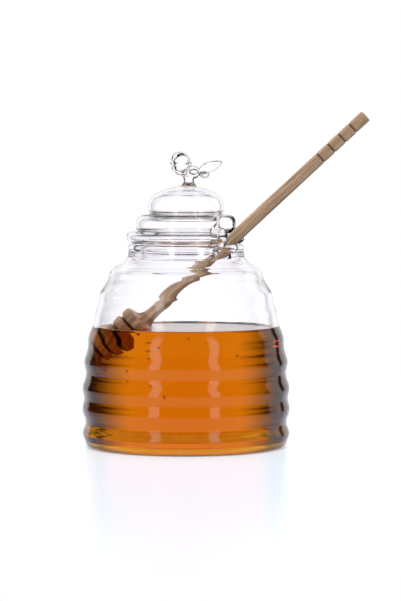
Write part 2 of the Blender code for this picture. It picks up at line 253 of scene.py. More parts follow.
def arc(centre, radius, start, end, steps):
    """Points on part of a circle, between two angles in degrees."""
    points = []
    for step in range(steps + 1):
        angle = math.radians(start + (end - start) * step / steps)
        points.append((centre[0] + radius * math.cos(angle), centre[1] + radius * math.sin(angle)))
    return points


def rounded(corners, turn_per_step=11.0):
    """An open outline whose corners (x, y, rounding) become round."""
    points = [corners[0][:2]]
    for before, corner, after in zip(corners, corners[1:], corners[2:]):
        here = Vector(corner[:2])
        back = Vector(before[:2]) - here
        ahead = Vector(after[:2]) - here
        turn = math.pi - back.angle(ahead)
        if corner[2] <= 0.0 or turn < 0.02:
            points.append(corner[:2])
            continue
        reach = min(corner[2] * math.tan(turn / 2.0), 0.48 * back.length, 0.48 * ahead.length)
        start = here + back.normalized() * reach
        end = here + ahead.normalized() * reach
        steps = max(1, round(math.degrees(turn) / turn_per_step))
        for step in range(steps + 1):
            share = step / steps
            bend = start.lerp(here, share).lerp(here.lerp(end, share), share)
            points.append((bend.x, bend.y))
    points.append(corners[-1][:2])
    return points


def curved(points, steps=5):
    """A smooth line through all the points."""
    line = [Vector((*point, 0.0)[:3]) for point in points]
    ends = [line[0] * 2.0 - line[1]] + line + [line[-1] * 2.0 - line[-2]]
    made = []
    for before, start, end, after in zip(ends, ends[1:], ends[2:], ends[3:]):
        for step in range(steps):
            share = step / steps
            made.append(0.5 * ((2.0 * start) + (end - before) * share
                               + (2.0 * before - 5.0 * start + 4.0 * end - after) * share ** 2
                               + (3.0 * start - before - 3.0 * end + after) * share ** 3))
    return made + [line[-1]]


def close_spaced(outline, spacing):
    """The same outline with extra points on its long stretches."""
    points = [outline[0]]
    for start, end in zip(outline, outline[1:]):
        parts = max(1, math.ceil(math.dist(start, end) / spacing))
        for step in range(1, parts + 1):
            share = step / parts
            points.append((start[0] + (end[0] - start[0]) * share, start[1] + (end[1] - start[1]) * share))
    return points


def inset_corners(corners, wall):
    """The corners of the same outline moved inwards by the wall: its right-hand side, going down."""
    lines = []
    for first, second in zip(corners, corners[1:]):
        start, end = Vector(first[:2]), Vector(second[:2])
        along = (end - start).normalized()
        lines.append((start + Vector((along.y, -along.x)) * wall, along))
    moved = []
    for (start, along), (other, across), corner in zip(lines, lines[1:], corners[1:]):
        cross = along.x * across.y - along.y * across.x
        reach = ((other - start).x * across.y - (other - start).y * across.x) / cross
        meet = start + along * reach
        rounding = corner[2] - wall if cross < 0.0 else corner[2] + wall
        moved.append((meet.x, meet.y, max(rounding, 0.3)))
    return moved


def turned(outline, steps):
    """A shape turned about Z from its (radius, height) outline, poles closed and faces outwards."""
    shape = bmesh.new()
    points = [shape.verts.new((radius, 0.0, height)) for radius, height in outline]
    lines = [shape.edges.new(pair) for pair in zip(points, points[1:])]
    bmesh.ops.spin(shape, geom=points + lines, cent=(0.0, 0.0, 0.0), axis=(0.0, 0.0, 1.0),
                   angle=FULL_TURN, steps=steps, use_merge=True)
    bmesh.ops.remove_doubles(shape, verts=shape.verts, dist=POLE_MERGE)
    bmesh.ops.recalc_face_normals(shape, faces=shape.faces)
    return shape


def ball(centre, halves, segments=32):
    """An ellipsoid from its centre and its half lengths."""
    shape = bmesh.new()
    bmesh.ops.create_uvsphere(shape, u_segments=segments, v_segments=segments // 2, radius=1.0)
    bmesh.ops.scale(shape, vec=halves, verts=shape.verts)
    bmesh.ops.translate(shape, vec=centre, verts=shape.verts)
    return shape


def held(shape, name):
    """Puts a shape into an object of its own, and frees it."""
    mesh = bpy.data.meshes.new(name)
    shape.to_mesh(mesh)
    shape.free()
    piece = bpy.data.objects.new(name, mesh)
    bpy.context.scene.collection.objects.link(piece)
    return piece


def released(piece):
    """The shape that an object's modifiers give; the object goes."""
    bpy.context.view_layer.update()
    evaluated = piece.evaluated_get(bpy.context.evaluated_depsgraph_get())
    mesh = bpy.data.meshes.new_from_object(evaluated)
    shape = bmesh.new()
    shape.from_mesh(mesh)
    bpy.data.objects.remove(piece)
    bpy.data.meshes.remove(mesh)
    return shape


def combined(base, others, operation):
    """Fuses other shapes to a shape, or cuts them from it."""
    piece = held(base, "held_base")
    tools = [held(other, "held_tool") for other in others]
    for tool in tools:
        step = piece.modifiers.new("Combine", "BOOLEAN")
        step.operation = operation
        step.solver = "EXACT"
        step.object = tool
    shape = released(piece)
    for tool in tools:
        bpy.data.objects.remove(tool)
    bmesh.ops.remove_doubles(shape, verts=shape.verts, dist=0.01)
    bmesh.ops.dissolve_degenerate(shape, dist=0.005, edges=shape.edges)
    return shape


def melted(shapes, voxel):
    """Several overlapping shapes as one with soft joints, as glass that was fused in a flame."""
    whole = bmesh.new()
    for shape in shapes:
        mesh = bpy.data.meshes.new("held_part")
        shape.to_mesh(mesh)
        shape.free()
        whole.from_mesh(mesh)
        bpy.data.meshes.remove(mesh)
    piece = held(whole, "held_melt")
    remesh = piece.modifiers.new("Melt", "REMESH")
    remesh.mode = "VOXEL"
    remesh.voxel_size = voxel
    shape = released(piece)
    soften(shape, shape.verts, 9)
    return shape


def soften(shape, points, times):
    """Evens out some points of a shape, a number of times."""
    for _ in range(times):
        bmesh.ops.smooth_vert(shape, verts=points, factor=0.5,
                              use_axis_x=True, use_axis_y=True, use_axis_z=True)


def hollow_out(shape, centre, halves, subdivisions):
    """A round hollow in a shape: a ball whose faces look inwards."""
    place = Matrix.Translation(centre) @ Matrix.Diagonal((*halves, 1.0))
    made = bmesh.ops.create_icosphere(shape, subdivisions=subdivisions, radius=1.0, matrix=place)
    faces = {face for point in made["verts"] for face in point.link_faces}
    bmesh.ops.reverse_faces(shape, faces=list(faces))


def blow(shape):
    """Small strays of a hand-blown wall, the same for glass and honey."""
    for point in shape.verts:
        radius = math.hypot(point.co.x, point.co.y)
        if radius > 1.0:
            stray = noise.noise(point.co / BLOWN_SPAN) * BLOWN_WAVE * min(1.0, radius / 20.0)
            point.co.x += point.co.x / radius * stray
            point.co.y += point.co.y / radius * stray


def finished(shape, name, material, node_name):
    """Makes a shape in mm a smooth piece in metres that stands for a CAD node."""
    bmesh.ops.scale(shape, vec=(MM, MM, MM), verts=shape.verts)
    piece = held(shape, name)
    piece.data.shade_smooth()
    piece.data.materials.append(material)
    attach(piece, "root")
    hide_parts(node_name)
    return piece


# Materials

def linear(hex_colour):
    """An sRGB hex colour as linear red, green, blue and full alpha."""
    channels = [int(hex_colour[place:place + 2], 16) / 255.0 for place in (1, 3, 5)]
    return tuple(c / 12.92 if c <= 0.04045 else ((c + 0.055) / 1.055) ** 2.4 for c in channels) + (1.0,)


def add(tree, kind, settings=None, inputs=None):
    """Adds a node with its settings. Each input gets a value, or a link from the socket given."""
    made = tree.nodes.new(kind)
    for name, value in (settings or {}).items():
        setattr(made, name, value)
    for name, source in (inputs or {}).items():
        if isinstance(source, bpy.types.NodeSocket):
            tree.links.new(source, made.inputs[name])
        else:
            made.inputs[name].default_value = source
    return made


def ramped(tree, source, stops):
    """Colour by a value, from (place, colour) pairs."""
    made = add(tree, "ShaderNodeValToRGB", inputs={"Fac": source})
    elements = made.color_ramp.elements
    while len(elements) < len(stops):
        elements.new(0.5)
    for element, (place, colour) in zip(elements, stops):
        element.position = place
        element.color = colour
    return made.outputs["Color"]


def mapped(tree, source, start, end, low=0.0, high=1.0):
    """A value spread from one range to another."""
    made = add(tree, "ShaderNodeMapRange", inputs={"Value": source, "From Min": start, "From Max": end,
                                                   "To Min": low, "To Max": high})
    return made.outputs["Result"]


def mixed(tree, factor, first, second, blend="MIX"):
    """Two colours blended."""
    made = add(tree, "ShaderNodeMix", settings={"data_type": "RGBA", "blend_type": blend},
               inputs={"Factor": factor, "A": first, "B": second})
    return made.outputs["Result"]


def cloudy(tree, place, size, detail, roughness=0.5):
    """Soft noise with patches of a size in mm."""
    made = add(tree, "ShaderNodeTexNoise", inputs={"Vector": place, "Scale": 1.0 / (size * MM),
                                                   "Detail": detail, "Roughness": roughness})
    return made.outputs["Fac"]


def maths(tree, operation, *numbers):
    """A calculation with one or two numbers."""
    made = add(tree, "ShaderNodeMath", settings={"operation": operation}, inputs=dict(enumerate(numbers)))
    return made.outputs[0]


def bump_by(tree, shader, height, strength, depth):
    """Fine relief on a surface, up to a depth in mm."""
    made = add(tree, "ShaderNodeBump", inputs={"Height": height, "Strength": strength, "Distance": depth * MM})
    tree.links.new(made.outputs["Normal"], shader.inputs["Normal"])


def new_material(name):
    """A material, its node tree, its shader and its output."""
    material = bpy.data.materials.new(name)
    material.use_nodes = True
    tree = material.node_tree
    return material, tree, tree.nodes["Principled BSDF"], tree.nodes["Material Output"]


def clear_glass(name, mirroring, middle, edge, ripple_size, ripple_depth):
    """Clear borosilicate glass, mirror smooth but for a slow faint ripple. Its colour has painted shade
    where its wall is seen slantwise, going through middle to edge, which draws its dark outlines."""
    material, tree, shader, _ = new_material(name)
    slant = add(tree, "ShaderNodeLayerWeight", inputs={"Blend": 0.5})
    # Painted shade: the wall's colour darkens where it is seen slantwise
    painted_edge_shade = ramped(tree, slant.outputs["Facing"],
                  ((0.73, linear("#fefdff")), (0.9, linear(middle)), (0.97, linear(edge))))
    tree.links.new(painted_edge_shade, shader.inputs["Base Color"])
    shader.inputs["Specular Tint"].default_value = (mirroring, mirroring, mirroring, 1.0)
    shader.inputs["Roughness"].default_value = 0.0
    shader.inputs["IOR"].default_value = 1.474
    shader.inputs["Transmission Weight"].default_value = 1.0
    place = add(tree, "ShaderNodeTexCoord").outputs["Object"]
    bump_by(tree, shader, cloudy(tree, place, ripple_size, 1.0, 0.4), 0.35, ripple_depth)
    return material


def blown_borosilicate():
    """The jar's glass, blown and fire-polished: clear, with faint grey painted shade at its edges and soft
    reflections.
    """
    return clear_glass("blown_borosilicate_glass", 0.45, "#d6d5dc", "#8b8994", 9.0, 0.05)


def wetted_borosilicate():
    """The same glass where honey wets it: nothing mirrors between them, because they bend light alike."""
    return clear_glass("wetted_borosilicate_glass", 0.0, "#d6d5dc", "#8b8994", 9.0, 0.05)


def lampworked_borosilicate():
    """The lid's glass, worked in a flame: a little more ripple, where it was melted together, and darker
    painted shade at its edges."""
    return clear_glass("lampworked_borosilicate_glass", 0.45, "#a09eaa", "#26242c", 6.0, 0.07)


def clear_honey(top=False):
    """Runny blossom honey: clear, wet and amber, redder the deeper the light goes. Its top, where
    pollen and foam settle, lets less light through."""
    material, tree, shader, output = new_material("amber_honey_top" if top else "clear_amber_honey")
    shader.inputs["Base Color"].default_value = linear("#b0bcc4" if top else "#ffffff")
    shader.inputs["Roughness"].default_value = 0.0
    shader.inputs["IOR"].default_value = 1.49
    shader.inputs["Specular Tint"].default_value = (0.0, 0.0, 0.0, 1.0)
    shader.inputs["Transmission Weight"].default_value = 1.0
    place = add(tree, "ShaderNodeTexCoord").outputs["Object"]
    bump_by(tree, shader, cloudy(tree, place, 16.0, 1.0, 0.4), 0.3, 0.05)
    body = add(tree, "ShaderNodeVolumeAbsorption", inputs={"Color": (0.92, 0.69, 0.0, 1.0), "Density": 66.0})
    tree.links.new(body.outputs["Volume"], output.inputs["Volume"])
    # Painted glow: the lowest edge glows golden by its own emission, as if light came up through little honey
    height = add(tree, "ShaderNodeSeparateXYZ", inputs={0: place}).outputs["Z"]
    painted_glow = ramped(tree, mapped(tree, height, 1.9 * MM, 5.9 * MM),
                  ((0.0, (0.04, 0.03, 0.0, 1.0)), (0.22, (0.20, 0.17, 0.01, 1.0)),
                   (0.36, (0.18, 0.15, 0.01, 1.0)), (0.5, (0.0, 0.0, 0.0, 1.0))))
    tree.links.new(painted_glow, shader.inputs["Emission Color"])
    shader.inputs["Emission Strength"].default_value = 0.8
    return material


def dipper_axes():
    """Tip of the dipper in mm and the matrix that lays an upright dipper in the notch."""
    bead_x = math.sqrt(RIM_RADIUS ** 2 - DIPPER_SIDE ** 2)
    rise = math.radians(DIPPER_RISE)
    lift = RIM_BEAD + DIPPER_STICK + DIPPER_CLEARANCE
    rest = Vector((bead_x - lift * math.sin(rise), DIPPER_SIDE, RIM_HEIGHT + lift * math.cos(rise)))
    tip = rest - Vector((math.cos(rise), 0.0, math.sin(rise))) * DIPPER_BELOW_RIM
    return tip, Matrix.Translation(tip) @ Matrix.Rotation(math.pi / 2.0 - rise, 4, "Y")


def turned_beech():
    """Beech turned on a lathe and left bare: pinkish tan, fine brown streaks and short flecks along
    the grain, painted shade in the grooves, and dark where honey has soaked in."""
    material, tree, shader, _ = new_material("turned_beech_wood")
    # Turned back upright, so that Z runs along the grain
    place = add(tree, "ShaderNodeTexCoord").outputs["Object"]
    lean = math.pi / 2.0 - math.radians(DIPPER_RISE)
    upright = add(tree, "ShaderNodeMapping", settings={"vector_type": "TEXTURE"},
                  inputs={"Vector": place, "Location": dipper_axes()[0] * MM, "Rotation": (0.0, lean, 0.0)})

    def grain(scale, turn=0.0):
        made = add(tree, "ShaderNodeMapping", inputs={"Vector": upright.outputs["Vector"], "Scale": scale,
                                                      "Rotation": (0.0, 0.0, turn)})
        return made.outputs["Vector"]

    streaks = cloudy(tree, grain((1.0, 1.0, 0.045)), 0.9, 4.0, 0.6)
    bands = cloudy(tree, grain((1.0, 0.5, 0.02), 0.5), 2.6, 2.0)
    flecks = add(tree, "ShaderNodeTexVoronoi", settings={"feature": "F1"},
                 inputs={"Vector": grain((1.0, 1.0, 0.16)), "Scale": 1.0 / (0.75 * MM)}).outputs["Distance"]
    colour = ramped(tree, streaks, ((0.28, linear("#8c6b4e")), (0.44, linear("#c2a486")),
                                    (0.60, linear("#d3baa0")), (0.75, linear("#e0cfbb"))))
    wide = ramped(tree, bands, ((0.35, linear("#ccb69f")), (0.6, linear("#ffffff"))))
    spots = ramped(tree, flecks, ((0.10, linear("#6b4c38")), (0.26, linear("#ffffff"))))
    colour = mixed(tree, 0.8, colour, wide, "MULTIPLY")
    colour = mixed(tree, 0.25, colour, spots, "MULTIPLY")
    # The groove attribute paints shade into the grooves; the soak attribute is the stain of honey in the wood
    for attribute, shade in (("groove", "#6e4e2c"), ("soak", "#eeb256")):
        share = add(tree, "ShaderNodeAttribute", settings={"attribute_name": attribute})
        colour = mixed(tree, share.outputs["Fac"], colour, linear(shade), "MULTIPLY")
    tree.links.new(colour, shader.inputs["Base Color"])
    tree.links.new(mapped(tree, streaks, 0.3, 0.7, 0.55, 0.72), shader.inputs["Roughness"])
    shader.inputs["IOR"].default_value = 1.45
    bump_by(tree, shader, streaks, 0.6, 0.06)
    return material


# Pieces

def round_foot(inset, floor, flat_radius, edge):
    """Outline from the first crest down round the foot edge to the middle of the bottom."""
    crest_height, crest_radius, _ = JAR_RINGS[0]
    corner = arc((flat_radius, floor + edge), edge, 0.0, -90.0, 9)
    return close_spaced([(crest_radius - inset, crest_height)] + corner + [(0.0, floor)], 5.0)


def inner_foot(inset, floor):
    flat_radius = JAR_RINGS[0][1] - inset - FLOOR_EDGE - 0.2
    return round_foot(inset, floor, flat_radius, FLOOR_EDGE)


def neck_line():
    """Outline of the shoulder and neck, going up."""
    last_ring = (JAR_RINGS[-1][0], JAR_RINGS[-1][1])
    return [(point.y, point.x) for point in curved((last_ring,) + NECK)]


def inner_line(wall):
    """The jar's inside from its lowest ring up to its neck, a wall's thickness in from a softer outline."""
    line = [(jar_radius(z, INNER_GROOVE_SHARE), z) for z in ring_heights(12)] + neck_line()[1:-3]
    for _ in range(3):
        soft = [((a[0] + 2.0 * b[0] + c[0]) / 4.0, (a[1] + 2.0 * b[1] + c[1]) / 4.0)
                if b[1] > JAR_RINGS[-2][0] else b for a, b, c in zip(line, line[1:], line[2:])]
        line = [line[0]] + soft + [line[-1]]
    moved = []
    for before, here, after in zip(line, line[1:], line[2:]):
        along = Vector((after[0] - before[0], after[1] - before[1])).normalized()
        thin = smoothstep((here[1] - THIN_FROM) / THIN_OVER)
        reach = wall * (1.0 + (TOP_WALL_SHARE - 1.0) * thin)
        moved.append((here[0] - along.y * reach, here[1] + along.x * reach))
    return moved


def make_jar(glass, wet_glass):
    """Blown jar, ringed outside and softer inside, with a thick polished rim."""
    floor = inner_foot(JAR_WALL, JAR_FLOOR)[::-1]
    neck = neck_line()
    bead = arc((RIM_RADIUS, RIM_HEIGHT), RIM_BEAD, 200.0, -30.0, 18)
    outer_wall = [(jar_radius(z), z) for z in reversed(ring_heights(14)[1:])]
    foot = round_foot(0.0, 0.0, FOOT_RADIUS, FOOT_EDGE)
    jar = turned(floor + inner_line(JAR_WALL) + bead + neck[:0:-1] + outer_wall + foot, JAR_STEPS)
    for face in jar.faces:
        middle = face.calc_center_median()
        inner = math.hypot(middle.x, middle.y) < jar_radius(middle.z) - 0.6 * JAR_WALL
        wetted = JAR_FLOOR - 0.1 < middle.z < HONEY_LEVEL + MENISCUS_RISE
        face.material_index = 1 if inner and wetted else 0
    blow(jar)
    piece = finished(jar, "jar_glass", glass, "jar")
    piece.data.materials.append(wet_glass)
    return piece


def notch_cutter(outline):
    """Arch-shaped prism that runs out through the lid's side."""
    cutter = bmesh.new()
    face = cutter.faces.new([cutter.verts.new((x, height, NOTCH_INNER)) for x, height in outline])
    swept = bmesh.ops.extrude_face_region(cutter, geom=[face])["geom"]
    ends = [part for part in swept if isinstance(part, bmesh.types.BMVert)]
    bmesh.ops.translate(cutter, vec=(0.0, 0.0, NOTCH_OUTER - NOTCH_INNER), verts=ends)
    bmesh.ops.transform(cutter, matrix=notch_frame(), verts=cutter.verts)
    bmesh.ops.recalc_face_normals(cutter, faces=cutter.faces)
    return cutter


def notch_frame():
    """Turns sideways, up and outwards at the notch into the jar's frame."""
    outwards = Vector((math.sin(math.radians(NOTCH_AZIMUTH)), -math.cos(math.radians(NOTCH_AZIMUTH)), 0.0))
    up = Vector((0.0, 0.0, 1.0))
    return Matrix((up.cross(outwards), up, outwards)).transposed().to_4x4()


def half_width(height, edge):
    """Half width of the notch at a height, from its rounded edge."""
    for (high_x, high), (low_x, low) in zip(edge, edge[1:]):
        if low <= height <= high:
            share = (high - height) / max(high - low, 0.001)
            return high_x + (low_x - high_x) * share
    return edge[-1][0]


def lip_path(edge):
    """Middle of the notch's lip from the top of the arch down to the skirt's end, on one side."""
    outer = close_spaced(rounded(LID_OUTLINE), 0.8)
    path = []
    for x, height in close_spaced(edge, 0.8):
        if height > LID_OUTLINE[9][1]:
            crossings = [low[0] for high, low in zip(outer, outer[1:]) if low[1] <= height <= high[1]]
            middle_radius = max(crossings) - LID_WALL / 2.0
            path.append(Vector((x, height, math.sqrt(middle_radius ** 2 - x ** 2))))
    for radius, height in outer:
        if LID_OUTLINE[-1][1] + 0.6 < height <= LID_OUTLINE[9][1]:
            x = half_width(height, edge)
            inward = radius - LID_WALL / 2.0
            path.append(Vector((x, height, math.sqrt(max(inward ** 2 - x ** 2, 1.0)))))
    for _ in range(3):
        inner = [(before + 2.0 * here + after) / 4.0 for before, here, after in zip(path, path[1:], path[2:])]
        path = [path[0]] + inner + [path[-1]]
    return path


def notch_lip(edge):
    """Rounded bead of glass along the whole edge of the notch."""
    right = lip_path(edge)
    left = [Vector((-point.x, point.y, point.z)) for point in reversed(right)]
    path = left[:-1] + right
    curve = bpy.data.curves.new("held_lip", "CURVE")
    curve.dimensions = "3D"
    curve.bevel_depth = LIP_RADIUS
    curve.bevel_resolution = 5
    curve.use_fill_caps = True
    spline = curve.splines.new("POLY")
    spline.points.add(len(path) - 1)
    for point, place in zip(spline.points, path):
        point.co = (*place, 1.0)
        swell = smoothstep((LIP_SWELL_FROM - place.y) / LIP_SWELL_OVER)
        swell *= 1.0 - LIP_EASE * smoothstep((LIP_EASE_FROM - place.y) / LIP_EASE_OVER)
        point.radius = 1.0 + (LIP_SWELL / LIP_RADIUS * swell if place.x < 0.0 else 0.0)
    piece = bpy.data.objects.new("held_lip", curve)
    bpy.context.scene.collection.objects.link(piece)
    lip = released(piece)
    bmesh.ops.remove_doubles(lip, verts=lip.verts, dist=POLE_MERGE)
    bmesh.ops.recalc_face_normals(lip, faces=lip.faces)
    ends = [ball(path[0], (LIP_RADIUS + LIP_SWELL,) * 3, 18), ball(path[-1], (LIP_RADIUS,) * 3, 18)]
    lip = melted([lip] + ends, LIP_VOXEL)
    bmesh.ops.transform(lip, matrix=notch_frame(), verts=lip.verts)
    return lip, [notch_frame() @ point for point in path]


def bee_wing(side):
    """Leaf-shaped wing, drawn to a point at its tip."""
    halves = (BEE_WING_LENGTH / 2.0, BEE_WING_WIDTH / 2.0, BEE_WING_THICKNESS / 2.0)
    wing = ball((0.0, 0.0, 0.0), halves, 40)
    for point in wing.verts:
        share = point.co.x / BEE_WING_LENGTH + 0.5
        point.co.y *= 1.0 - 0.45 * share ** 3
        point.co.z *= 1.25 - 0.35 * share
    bmesh.ops.translate(wing, vec=(BEE_WING_LENGTH / 2.0, 0.0, 0.0), verts=wing.verts)
    root = Matrix.Translation((BEE_WING_ROOT[0] + BEE_OFFSET, side * BEE_WING_ROOT[1], BEE_WING_ROOT[2]))
    turn = Matrix.Rotation(math.radians(side * BEE_WING_SPREAD), 4, "Z")
    rise = Matrix.Rotation(math.radians(-BEE_WING_RISE), 4, "Y")
    roll = Matrix.Rotation(math.radians(90.0 - side * BEE_WING_ROLL), 4, "X")
    bmesh.ops.transform(wing, matrix=root @ turn @ rise @ roll, verts=wing.verts)
    return wing


def bee_abdomen():
    """Round ringed body of the bee, turned about its own leaning axis."""
    steps = 14 * BEE_ABDOMEN_RINGS
    outline = []
    for step in range(steps + 1):
        share = 1.0 - step / steps
        radius = BEE_ABDOMEN_RADIUS * math.sqrt(max(0.0, 1.0 - (2.0 * share - 1.0) ** 2))
        ring = math.sin(math.pi * share) * math.cos(FULL_TURN * BEE_ABDOMEN_RINGS * share)
        outline.append((max(0.0, radius - BEE_ABDOMEN_RING_HEIGHT * ring), BEE_ABDOMEN_LENGTH * share))
    outline[0] = (0.0, BEE_ABDOMEN_LENGTH)
    outline[-1] = (0.0, 0.0)
    abdomen = turned(outline, 40)
    place = Matrix.Translation(Vector(BEE_ABDOMEN_BASE) + Vector((BEE_OFFSET, 0.0, 0.0)))
    lean = Matrix.Rotation(math.radians(BEE_ABDOMEN_TILT), 4, "Y")
    bmesh.ops.transform(abdomen, matrix=place @ lean, verts=abdomen.verts)
    return abdomen


def make_bee():
    """Bee of stem, thorax, head, abdomen and two wings, melted together."""
    stem = turned(close_spaced(BEE_STEM, 0.5), 40)
    bmesh.ops.translate(stem, vec=(BEE_OFFSET, 0.0, 0.0), verts=stem.verts)
    balls = []
    for centre, halves in (BEE_THORAX, BEE_HEAD):
        balls.append(ball(Vector(centre) + Vector((BEE_OFFSET, 0.0, 0.0)), halves))
    return melted([stem, bee_abdomen()] + balls + [bee_wing(-1), bee_wing(1)], BEE_VOXEL)


def make_lid(glass):
    """Blown stepped lid with its notch, the lip round it and the bee knob, all one piece of glass."""
    crown_height = LID_OUTLINE[0][1]
    skirt_radius, skirt_height, _ = LID_OUTLINE[-1]
    skirt_end = (skirt_radius - LID_WALL, skirt_height, 0.0)
    skirt_rim = arc((skirt_radius - LID_WALL / 2.0, skirt_height), LID_WALL / 2.0, 0.0, -180.0, 8)
    crown = (0.0, crown_height - LID_WALL, 0.0)
    outer = close_spaced(rounded(LID_OUTLINE), 0.9)
    inner = close_spaced(rounded([skirt_end] + inset_corners(LID_OUTLINE, LID_WALL)[::-1] + [crown]), 0.9)
    shell = turned(outer + skirt_rim[1:-1] + inner, LID_STEPS)
    edge = rounded(((0.0, NOTCH_EDGE[0][1], 0.0),) + NOTCH_EDGE)
    whole_edge = [(-x, height) for x, height in reversed(edge[1:])] + edge
    lid = combined(shell, [notch_cutter(whole_edge)], "DIFFERENCE")
    lip, path = notch_lip(edge)
    lid = combined(lid, [lip, make_bee()], "UNION")
    tree = kdtree.KDTree(len(path))
    for number, place in enumerate(path):
        tree.insert(place, number)
    tree.balance()
    near = [point for point in lid.verts if tree.find(point.co)[2] < LIP_MELT]
    soften(lid, near, 6)
    for centre, halves in BEE_HOLLOWS:
        hollow_out(lid, Vector(centre) + Vector((BEE_OFFSET, 0.0, 0.0)), halves, 4)
    return finished(lid, "lid_glass", glass, "lid")


def dipper_outline():
    """Outline of the dipper from its top end down to its tip, as radius and distance from the tip."""
    corners = [(0.0, DIPPER_LENGTH, 0.0), (DIPPER_STICK, DIPPER_LENGTH, 0.7)]
    for number in range(DIPPER_GRIP_GROOVES):
        middle = DIPPER_LENGTH - DIPPER_GRIP_FIRST - number * DIPPER_GRIP_PITCH
        half = DIPPER_GRIP_WIDTH / 2.0
        corners += [(DIPPER_STICK, middle + half, 0.3), (DIPPER_STICK - DIPPER_GRIP_DEPTH, middle, 0.3),
                    (DIPPER_STICK, middle - half, 0.3)]
    corners.append((DIPPER_STICK, DIPPER_DISCS[-1][1] + DIPPER_NECK_LENGTH, 1.5))
    for number, (start, end, radius) in enumerate(reversed(DIPPER_DISCS)):
        inner = DIPPER_STICK + 1.2 if number == 0 else DIPPER_CORE
        corners += [(inner, end, 0.3), (radius, end, DIPPER_DISC_ROUND)]
        if start > 0.0:
            corners += [(radius, start, DIPPER_DISC_ROUND), (DIPPER_CORE, start, 0.3)]
    radius = DIPPER_DISCS[0][2]
    dome = []
    for step in range(13):
        angle = math.radians(7.5 * step)
        dome.append((radius * math.cos(angle), DIPPER_DOME * (1.0 - math.sin(angle))))
    return close_spaced(rounded(corners + [(*dome[0], 0.0)], 20.0), 1.2) + dome[1:-1] + [(0.0, 0.0)]


def make_dipper(wood):
    """The turned dipper, with painted shade in its grooves and where honey has soaked in."""
    dipper = turned(dipper_outline(), 72)
    groove = dipper.verts.layers.float.new("groove")
    soak = dipper.verts.layers.float.new("soak")
    head_end = DIPPER_DISCS[-1][1]
    _, place = dipper_axes()
    for point in dipper.verts:
        radius = math.hypot(point.co.x, point.co.y)
        # Painted shade, darker the deeper into a groove
        if point.co.z > head_end + DIPPER_NECK_LENGTH and point.co.z < DIPPER_LENGTH - 1.0:
            point[groove] = min(1.0, (DIPPER_STICK - radius) / DIPPER_GRIP_DEPTH)
        elif point.co.z < head_end:
            point[groove] = min(1.0, max(0.0, (GROOVE_PAINTED_SHADE_FROM - radius) / GROOVE_PAINTED_SHADE_OVER))
        depth = HONEY_LEVEL + SOAK_ABOVE - (place @ point.co).z
        point[soak] = min(1.0, max(0.0, depth / SOAK_OVER)) if point.co.z < head_end + 6.0 else 0.0
    bmesh.ops.transform(dipper, matrix=place, verts=dipper.verts)
    return finished(dipper, "dipper_wood", wood, "dipper")


def honey_film():
    """Honey that clings to the head: over its discs, nearly filling its grooves, up to the stick."""
    corners = [(0.0, FILM_TOP, 0.0), (DIPPER_STICK - 0.3, FILM_TOP, 0.0),
               (DIPPER_STICK + 0.12, FILM_TOP - 1.6, 0.5), (DIPPER_STICK + 1.4, FILM_TOP - 4.1, 2.0)]
    for number, (start, end, radius) in enumerate(reversed(DIPPER_DISCS)):
        corners += [(radius + FILM - 0.6, end + FILM + 0.1, 0.8), (radius + FILM, end - 0.4, 0.6)]
        if number < len(DIPPER_DISCS) - 1:
            below = DIPPER_DISCS[-2 - number]
            corners += [(radius + FILM, start + 0.3, 0.5),
                        (min(radius, below[2]) - 1.6, (start + below[1]) / 2.0, 0.5)]
    corners += [(DIPPER_DISCS[0][2], 3.5, 0.5), (0.0, 3.0, 0.0)]
    film = turned(close_spaced(rounded(corners, 15.0), 0.7), 96)
    bmesh.ops.transform(film, matrix=dipper_axes()[1], verts=film.verts)
    return film


def make_honey(honey, top_honey):
    """Honey up to its level, drawn up at the glass and round the dipper's head."""
    inset = JAR_WALL - HONEY_INTO_GLASS
    wall_top = HONEY_LEVEL + MENISCUS_RISE
    inside = inner_line(JAR_WALL)
    wall_radius = next(radius for radius, height in inside if height > wall_top)
    surface = []
    radius = 0.0
    while radius < wall_radius:
        rise = MENISCUS_RISE * math.exp((radius - wall_radius) / MENISCUS_REACH)
        surface.append((radius, HONEY_LEVEL + rise))
        radius += 0.9 if radius < wall_radius - 7.0 else 0.35
    wall = [(radius, height) for radius, height in reversed(inner_line(inset)) if height < wall_top]
    outline = surface + [(wall_radius, wall_top)] + wall + inner_foot(inset, JAR_FLOOR - HONEY_INTO_GLASS)
    fill = turned(outline, JAR_STEPS)
    blow(fill)
    fill = combined(fill, [honey_film()], "UNION")
    # The joint of film and surface becomes soft
    upright = dipper_axes()[1].inverted()
    near = []
    for point in fill.verts:
        local = upright @ point.co
        beside = math.hypot(local.x, local.y) < 13.5 and local.z < 33.0
        if beside and abs(point.co.z - HONEY_LEVEL - 0.4) < 1.6:
            near.append(point)
    soften(fill, near, 8)
    for centre, radius in HONEY_BUBBLES:
        hollow_out(fill, centre, (radius, radius, radius), 3)
    for face in fill.faces:
        middle = face.calc_center_median()
        face.material_index = 1 if abs(middle.z - HONEY_LEVEL) < 0.3 and face.normal.z > 0.9 else 0
    piece = finished(fill, "honey_fill", honey, "honey")
    piece.data.materials.append(top_honey)
    return piece


# Stage, light and camera

